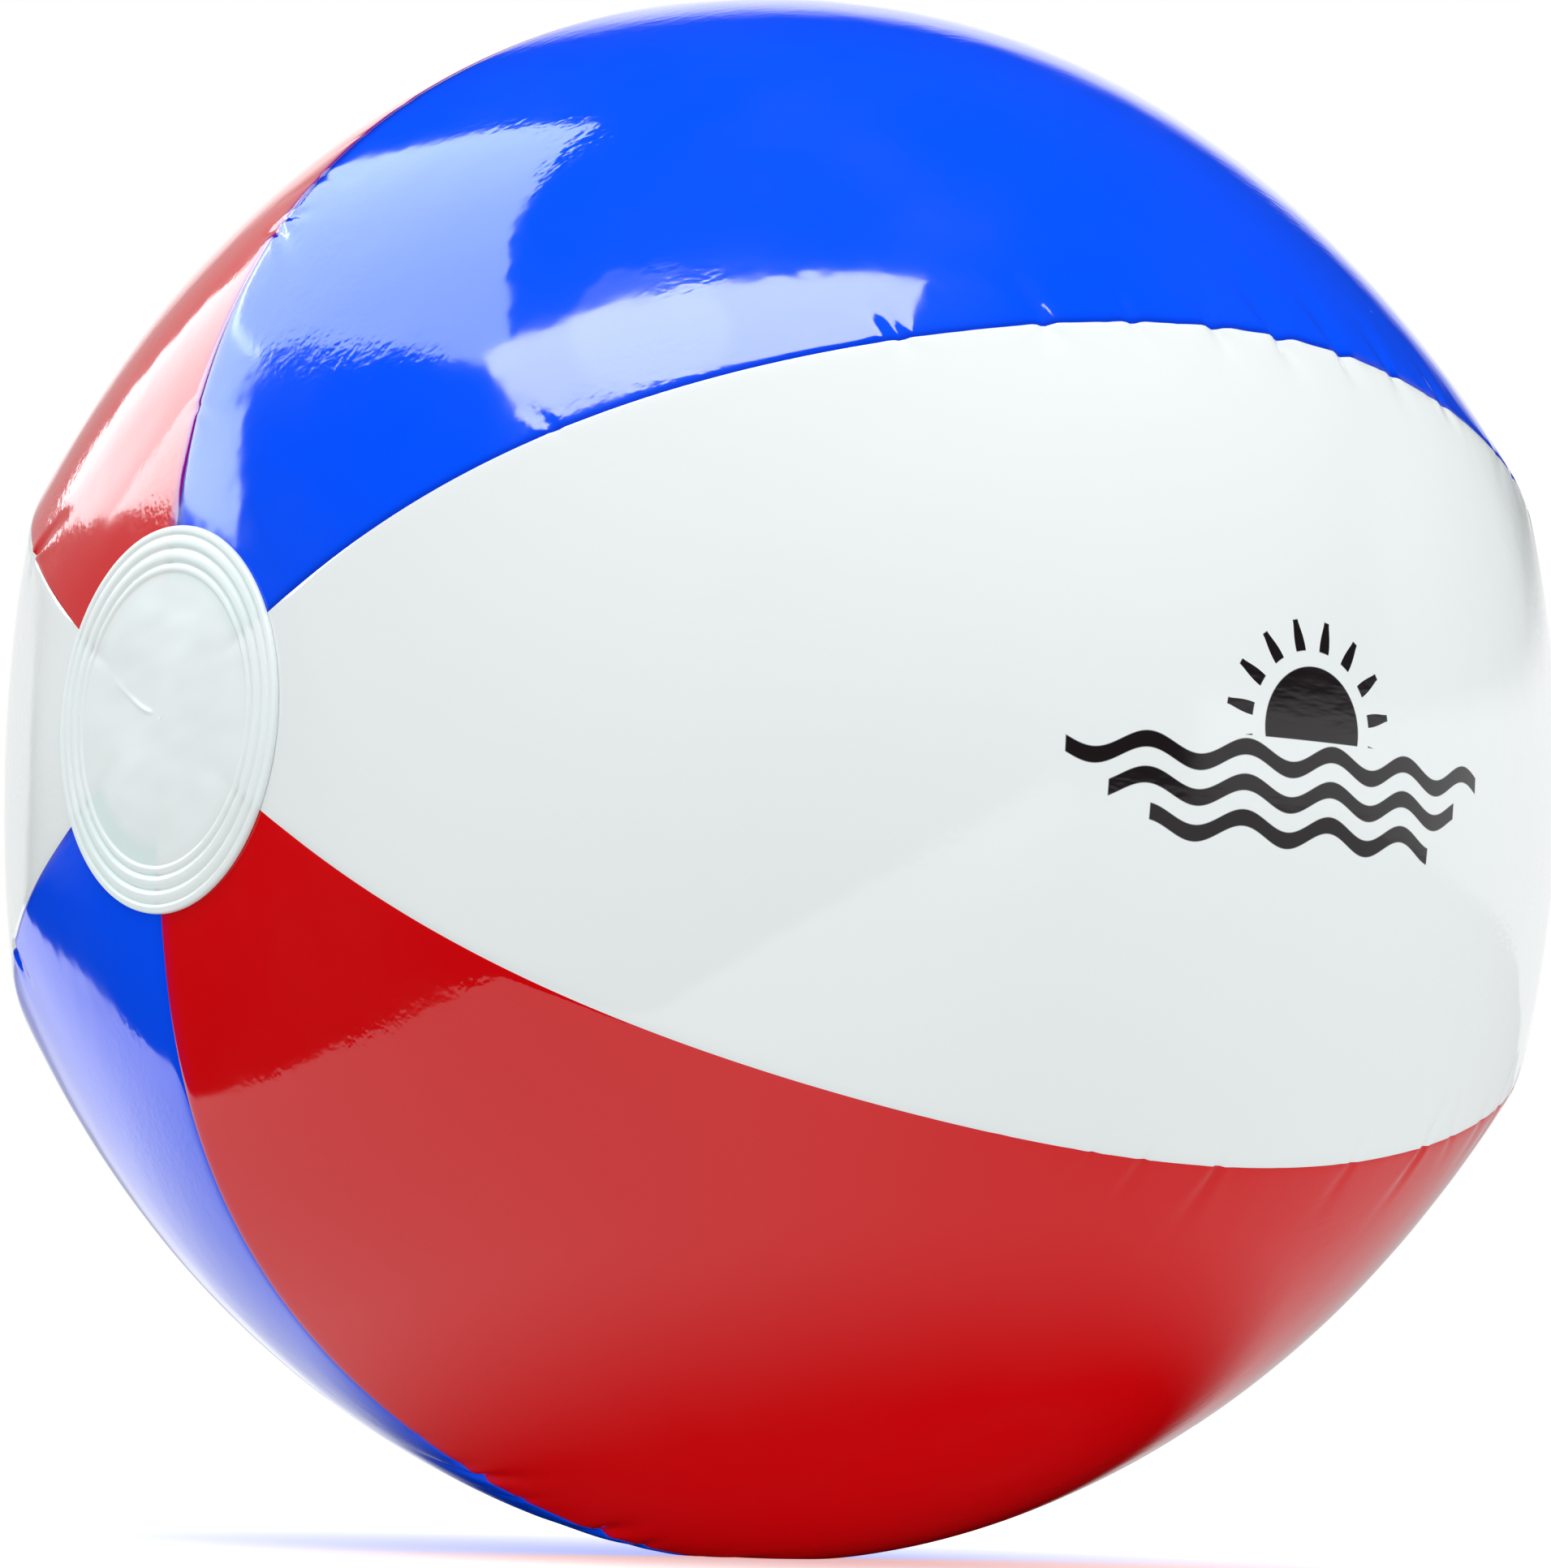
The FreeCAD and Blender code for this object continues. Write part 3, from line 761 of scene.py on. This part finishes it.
def printed_mark(tree, place):
    """1 where the ink lies, from the surface's own X and Z."""
    parts = add(tree, "SeparateXYZ", {0: place})
    across = maths(tree, "SUBTRACT", parts.outputs[0], MARK_X)
    up = maths(tree, "SUBTRACT", parts.outputs[2], MARK_Z)
    radius = length_of(tree, across, up)
    disc = smooth_range(tree, radius, SUN_RADIUS + SOFT_EDGE, SUN_RADIUS - SOFT_EDGE)
    turn = maths(tree, "MULTIPLY", maths(tree, "ARCTAN2", up, across), RAYS / 2.0)
    spoke = maths(tree, "ABSOLUTE", maths(tree, "SINE", turn))
    taper = smooth_range(tree, radius, RAY_START, RAY_END, 0.80, 0.97)
    ray = smooth_range(tree, maths(tree, "SUBTRACT", spoke, taper), -0.01, 0.01)
    ring = maths(tree, "MULTIPLY", smooth_range(tree, radius, RAY_START - SOFT_EDGE, RAY_START + SOFT_EDGE),
                 smooth_range(tree, radius, RAY_END + SOFT_EDGE, RAY_END - SOFT_EDGE))
    sun = maths(tree, "MAXIMUM", disc, maths(tree, "MULTIPLY", ray, ring))
    above = smooth_range(tree, up, *[WAVE_LEVELS[0] + height for height in SUN_CUT])
    mark = maths(tree, "MULTIPLY", sun, above)
    wave = maths(tree, "SINE", maths(tree, "MULTIPLY", across, 2 * math.pi / WAVE_PITCH))
    swell = maths(tree, "MULTIPLY", wave, WAVE_HEIGHT)
    reach = maths(tree, "ABSOLUTE", across)
    for number, level in enumerate(WAVE_LEVELS):
        off = maths(tree, "ABSOLUTE", maths(tree, "SUBTRACT", maths(tree, "SUBTRACT", up, swell), level))
        line = smooth_range(tree, off, WAVE_HALF_THICKNESS + SOFT_EDGE, WAVE_HALF_THICKNESS - SOFT_EDGE)
        half = WAVE_HALF_LENGTH * (1 - WAVE_SHORTENING * number)
        inside = smooth_range(tree, reach, half + SOFT_EDGE, half - SOFT_EDGE)
        mark = maths(tree, "MAXIMUM", mark, maths(tree, "MULTIPLY", line, inside))
    facing = smooth_range(tree, parts.outputs[1], 0.0, -0.01)
    return maths(tree, "MULTIPLY", mark, facing)


def cap_material():
    """Milky heavy vinyl that lets a little of what is under it show."""
    material, tree, shader = new_material("milky_vinyl", 0.36, MILKY)
    place = add(tree, "TexCoord").outputs["Object"]
    seen = add(tree, "Attribute", attribute_name="seen_through").outputs["Color"]
    cloud = smooth_range(tree, noise(tree, place, 60, 4.0), 0.35, 0.7, 0.0, 0.10)
    colour = blend_colours(tree, cloud, seen, CLOUDED_MILKY)
    tree.links.new(colour, shader.inputs["Base Color"])
    shader.inputs["Subsurface Weight"].default_value = 0.25
    shader.inputs["Subsurface Radius"].default_value = (1.0, 1.1, 1.0)
    shader.inputs["Subsurface Scale"].default_value = 1.2 * MM
    gloss = smooth_range(tree, noise(tree, place, 150), 0.3, 0.7, *CAP_GLOSS)
    tree.links.new(gloss, shader.inputs["Roughness"])
    film_bump(tree, place, shader, 0.2)
    return material


def moulded_material(name, colour, roughness, subsurface):
    """Soft moulded vinyl: cloudy, a little waxy, with a fine satin from the mould."""
    material, tree, shader = new_material(name, roughness, colour)
    place = add(tree, "TexCoord").outputs["Object"]
    cloud = smooth_range(tree, noise(tree, place, 240, 4.0), 0.3, 0.7)
    tinted = blend_colours(tree, cloud, colour, tuple(0.93 * part for part in colour))
    tree.links.new(tinted, shader.inputs["Base Color"])
    shader.inputs["Subsurface Weight"].default_value = subsurface
    shader.inputs["Subsurface Radius"].default_value = (1.0, 1.1, 1.1)
    shader.inputs["Subsurface Scale"].default_value = 1.0 * MM
    gloss = smooth_range(tree, noise(tree, place, 900), 0.3, 0.7, roughness - 0.05, roughness + 0.08)
    tree.links.new(gloss, shader.inputs["Roughness"])
    grain = noise(tree, place, 1500)
    bump = add(tree, "Bump", {"Height": grain, "Strength": 0.12, "Distance": 0.08 * MM})
    tree.links.new(bump.outputs[0], shader.inputs["Normal"])
    return material


def finish_piece(piece, material, slot, body, *nodes):
    """Gives a piece its material and, unless it bends, its body, and hides the CAD nodes it stands for. The
    slot is not used.
    """
    piece.data.materials.clear()
    piece.data.materials.append(material)
    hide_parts(*nodes)
    if body:
        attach(piece, body)
    return piece


# ---------------------------------------------------------------- the object

def build_ball():
    films = {
        "white": film_material("white_vinyl", WHITE),
        "blue": film_material("blue_vinyl", BLUE),
        "red": film_material("red_vinyl", RED),
    }
    printed = film_material("white_vinyl_printed", WHITE, ink=True)
    fused = moulded_material("fused_vinyl", (0.62, 0.66, 0.74), 0.3, 0.1)
    for number, panel in enumerate(PANELS):
        colour = panel.split("_")[0]
        material = printed if number == 0 else films[colour]
        finish_piece(make_panel(number), material, colour + "_film", "ball", "panel_" + panel)
        finish_piece(make_seam_fin(number), fused, "seam_weld", "ball", "seam_weld_%d" % (number + 1))
    milky = cap_material()
    finish_piece(make_cap("disc_plain", -1, 0), milky, "cap_film", "ball", "end_cap_plain")
    finish_piece(make_cap("disc_valve", 1, 11 * MM), milky, "cap_film", "ball", "end_cap_valve")


def build_valve():
    soft = moulded_material("valve_vinyl", (0.80, 0.85, 0.86), 0.28, 0.35)
    clear = moulded_material("stopper_vinyl", (0.84, 0.88, 0.88), 0.25, 0.35)
    finish_piece(make_flange(), soft, "valve_vinyl", "ball", "valve_flange")
    finish_piece(make_stem(), soft, "valve_vinyl", "stem", "valve_stem")
    finish_piece(make_stopper(), clear, "stopper_vinyl", "stopper", "stopper_plug")
    finish_piece(make_flap(), clear, "flap_vinyl", "flap", "check_flap")
    funnel = finish_piece(make_diaphragm(), soft, "valve_vinyl", None, "valve_diaphragm")
    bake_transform(funnel)
    tether = finish_piece(make_tether(), clear, "stopper_vinyl", None, "stopper_tether")
    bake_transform(tether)
    web = finish_piece(make_flap_web(), clear, "flap_vinyl", None, "flap_web")
    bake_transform(web)


# ---------------------------------------------------------------- floor, lights and camera

FLOOR_EDGE_X = -0.225
FLOOR_REACH = 4.0
FLOOR_COLOUR = (0.84, 0.84, 0.84)
# How bright the floor is in the ball's gloss: towards -X, towards +X, and far back on the -X side.
FLOOR_NEAR, FLOOR_FAR_SIDE, FLOOR_BACK = 1.12, 0.62, 1.9
# How bright it is for soft light, from -X to +X, and its own glow, which shows in the camera's view.
FLOOR_SOFT = (0.78, 1.12)
FLOOR_GLOW = 0.45
# The ball's shadow as its gloss sees it: an ellipse's centre and half lengths, and where its edge fades.
SHADOW_X = 0.02
SHADOW_HALF_X, SHADOW_HALF_Y = 0.098, 0.105
SHADOW_FADE = (0.70, 1.30)


def mix_shaders(tree, share, first, second):
    node = tree.nodes.new("ShaderNodeMixShader")
    for socket, value in zip(node.inputs, (share, first, second)):
        tree.links.new(value, socket)
    return node.outputs[0]


def glow(tree, strength):
    return add(tree, "Emission", {"Strength": strength}).outputs[0]


def floor_material():
    """Pale matt floor. What it gives as soft light, and what gloss sees of it, is painted on, uneven."""
    material, tree, shader = new_material("pale_floor", 0.7, FLOOR_COLOUR)
    place = add(tree, "TexCoord").outputs["Object"]
    cloud = smooth_range(tree, noise(tree, place, 6, 4.0), 0.3, 0.7)
    colour = blend_colours(tree, cloud, FLOOR_COLOUR, tuple(0.985 * part for part in FLOOR_COLOUR))
    tree.links.new(colour, shader.inputs["Base Color"])
    shader.inputs["Specular IOR Level"].default_value = 0.0
    shader.inputs["Emission Color"].default_value = (1, 1, 1, 1)
    shader.inputs["Emission Strength"].default_value = FLOOR_GLOW
    parts = add(tree, "SeparateXYZ", {0: place})
    x, y = parts.outputs[0], parts.outputs[1]
    right = smooth_range(tree, x, -0.13, 0.026, FLOOR_NEAR, FLOOR_FAR_SIDE)
    back = smooth_range(tree, y, 0.05, 0.35, 0.0, FLOOR_BACK - FLOOR_NEAR)
    lit = maths(tree, "ADD", right, maths(tree, "MULTIPLY", back, smooth_range(tree, x, 0.35, 0.05)))
    long_way = maths(tree, "MULTIPLY", maths(tree, "SUBTRACT", x, SHADOW_X), 1 / SHADOW_HALF_X)
    short_way = maths(tree, "MULTIPLY", y, 1 / SHADOW_HALF_Y)
    shadow = smooth_range(tree, length_of(tree, long_way, short_way), *SHADOW_FADE)
    soft_glow = glow(tree, smooth_range(tree, x, -0.35, 0.35, *FLOOR_SOFT))
    gloss_glow = glow(tree, maths(tree, "MULTIPLY", lit, shadow))
    light_path = add(tree, "LightPath")
    surface = mix_shaders(tree, light_path.outputs["Is Diffuse Ray"], shader.outputs[0], soft_glow)
    surface = mix_shaders(tree, light_path.outputs["Is Glossy Ray"], surface, gloss_glow)
    tree.links.new(surface, tree.nodes["Material Output"].inputs["Surface"])
    return material


def make_floor():
    """A pale floor. Only the part beyond a straight edge shows in the ball's gloss, like a table top."""
    material = floor_material()
    for name, low, high, in_gloss in (("floor", FLOOR_EDGE_X, FLOOR_REACH, True),
                                      ("floor_front", -FLOOR_REACH, FLOOR_EDGE_X, False)):
        corners = np.array([(low, -FLOOR_REACH, CONTACT_Z), (high, -FLOOR_REACH, CONTACT_Z),
                            (high, FLOOR_REACH, CONTACT_Z), (low, FLOOR_REACH, CONTACT_Z)])
        plane = mesh_object(name, corners, [[0, 1, 2, 3]], smooth=False)
        plane.data.materials.append(material)
        plane.visible_glossy = in_gloss


# Tints of what shows in gloss.
DAYLIGHT = (0.80, 0.96, 1.0)
LAMPLIGHT = (0.93, 0.98, 1.0)
# How bright each light is.
STRIP, STRIP_LAMP, CEILING_BOX, WINDOW_LEFT, WINDOW_RIGHT, TOP_FILL = 9.3, 0.7, 4.4, 5.2, 3.0, 1.45
# The strip's lamps are round, one inside the other, just under it: their middle and half widths.
LAMP_X, LAMP_Y = -0.45, -0.08
LAMP_REACHES = (0.08, 0.13, 0.18)
WINDOW_Y, WINDOW_FOOT, WINDOW_HEAD = 1.2, 0.36, 1.05


def direction(azimuth, elevation):
    """Unit vector: azimuth 0 is -Y and 90 is +X."""
    turn, tilt = math.radians(azimuth), math.radians(elevation)
    return Vector((math.sin(turn) * math.cos(tilt), -math.cos(turn) * math.cos(tilt), math.sin(tilt)))


def softbox(name, corners, radiance, soft=False, shape="RECTANGLE", tint=DAYLIGHT):
    """An area light through three corners in a row, shining to the side where they run clockwise.

    A soft one is white and only lights matt surfaces. The others are tinted and only show in gloss.
    """
    first, second, third = (Vector(corner) for corner in corners)
    width, height = (second - first).length, (third - second).length
    light = bpy.data.lights.new(name, "AREA")
    light.shape = shape
    light.size = width
    light.size_y = height
    light.energy = radiance * 4 * width * height
    light.color = (1, 1, 1) if soft else tint
    made = bpy.data.objects.new(name, light)
    bpy.context.scene.collection.objects.link(made)
    along = (second - first).normalized()
    up = (third - second).normalized()
    basis = Matrix((along, up, along.cross(up))).transposed()
    made.matrix_world = Matrix.Translation((first + third) / 2) @ basis.to_4x4()
    made.visible_glossy = not soft
    made.visible_diffuse = soft
    return made


def overhead(*places, height=1.0):
    return [(x, y, height) for x, y in places]


def window(first_x, second_x):
    return [(first_x, WINDOW_Y, WINDOW_FOOT), (second_x, WINDOW_Y, WINDOW_FOOT),
            (second_x, WINDOW_Y, WINDOW_HEAD)]


def make_lights():
    softbox("strip", overhead((-0.92, 0.07), (-0.15, -0.55), (0.03, -0.32)), STRIP, tint=LAMPLIGHT)
    for number, reach in enumerate(LAMP_REACHES):
        lamp = overhead((LAMP_X - reach, LAMP_Y - reach), (LAMP_X + reach, LAMP_Y - reach),
                        (LAMP_X + reach, LAMP_Y + reach), height=0.98)
        softbox("strip_lamp_%d" % number, lamp, STRIP_LAMP, shape="ELLIPSE", tint=LAMPLIGHT)
    softbox("ceiling_box", overhead((-0.73, 0.20), (0.0, 0.42), (-0.30, 1.40)), CEILING_BOX)
    softbox("window_left", window(-0.45, -1.1), WINDOW_LEFT)
    softbox("window_right", window(0.02, -0.45), WINDOW_RIGHT)
    softbox("top_fill", overhead((-1.3, -1.2), (0.3, -1.2), (0.3, 0.4), height=1.5), TOP_FILL, soft=True)


# What gloss sees of the world: azimuth and elevation of a wall's middle, the angle from there to where it
# ends, the angle to where it is at its full level, and that level.
BACKDROP = (100, 0, 83, 76, 0.95)
PALE_WALLS = (
    (143, 16, 20, 10, 1.2),
    (168, 14, 20, 10, 0.6),
    (-165, 20, 24, 14, 0.45),
    (88, 4, 30, 18, 0.4),
)
ROOM_LEVEL = 0.02


def make_world():
    """Even white light; gloss sees a white backdrop low behind the ball, pale walls, and a dim room."""
    world = bpy.data.worlds.new("studio")
    bpy.context.scene.world = world
    world.use_nodes = True
    tree = world.node_tree
    way = add(tree, "TexCoord").outputs["Generated"]

    def facing(azimuth, elevation, nothing, full, level):
        """The level at full degrees or less from a direction, and 0 at nothing degrees or more."""
        seen = add(tree, "VectorMath", {0: way, 1: direction(azimuth, elevation)}, operation="DOT_PRODUCT")
        ends = [math.cos(math.radians(angle)) for angle in (nothing, full)]
        return smooth_range(tree, seen.outputs["Value"], *ends, 0.0, level)

    height = add(tree, "SeparateXYZ", {0: way}).outputs[2]
    low = smooth_range(tree, height, 0.20, 0.12)
    bright = maths(tree, "MULTIPLY", facing(*BACKDROP), low)
    for wall in PALE_WALLS:
        bright = maths(tree, "MAXIMUM", bright, facing(*wall))
    room = maths(tree, "ADD", bright, ROOM_LEVEL)
    light_path = add(tree, "LightPath")
    level = add(tree, "Mix", data_type="FLOAT")
    tree.links.new(light_path.outputs["Is Glossy Ray"], level.inputs[0])
    level.inputs[2].default_value = 1.0
    tree.links.new(room, level.inputs[3])
    shown = add(tree, "Mix", data_type="FLOAT")
    tree.links.new(light_path.outputs["Is Camera Ray"], shown.inputs[0])
    tree.links.new(level.outputs[0], shown.inputs[2])
    shown.inputs[3].default_value = 1.0
    background = tree.nodes["Background"]
    background.inputs["Color"].default_value = (1, 1, 1, 1)
    tree.links.new(shown.outputs[0], background.inputs["Strength"])


CAMERA_AZIMUTH = -37.96
CAMERA_ELEVATION = -4.65
CAMERA_ROLL = 1.87
CAMERA_DISTANCE = 9.44 * BALL_RADIUS
LENS_MM = 169.1
SHIFT_X = -0.0040
SHIFT_Y = -0.0035


def make_camera():
    camera = bpy.data.cameras.new("camera")
    camera.lens = LENS_MM
    camera.sensor_width = 36
    camera.shift_x = SHIFT_X
    camera.shift_y = SHIFT_Y
    camera.clip_start = 0.01
    made = bpy.data.objects.new("camera", camera)
    bpy.context.scene.collection.objects.link(made)
    back = direction(CAMERA_AZIMUTH, CAMERA_ELEVATION)
    right = Vector((0, 0, 1)).cross(back).normalized()
    level = Matrix((right, back.cross(right), back)).transposed()
    basis = level @ Matrix.Rotation(math.radians(CAMERA_ROLL), 3, "Z")
    made.matrix_world = Matrix.Translation(back * CAMERA_DISTANCE) @ basis.to_4x4()
    bpy.context.scene.camera = made


make_camera()
build_ball()
build_valve()
make_floor()
make_world()
make_lights()
bpy.context.scene.view_settings.view_transform = "Standard"
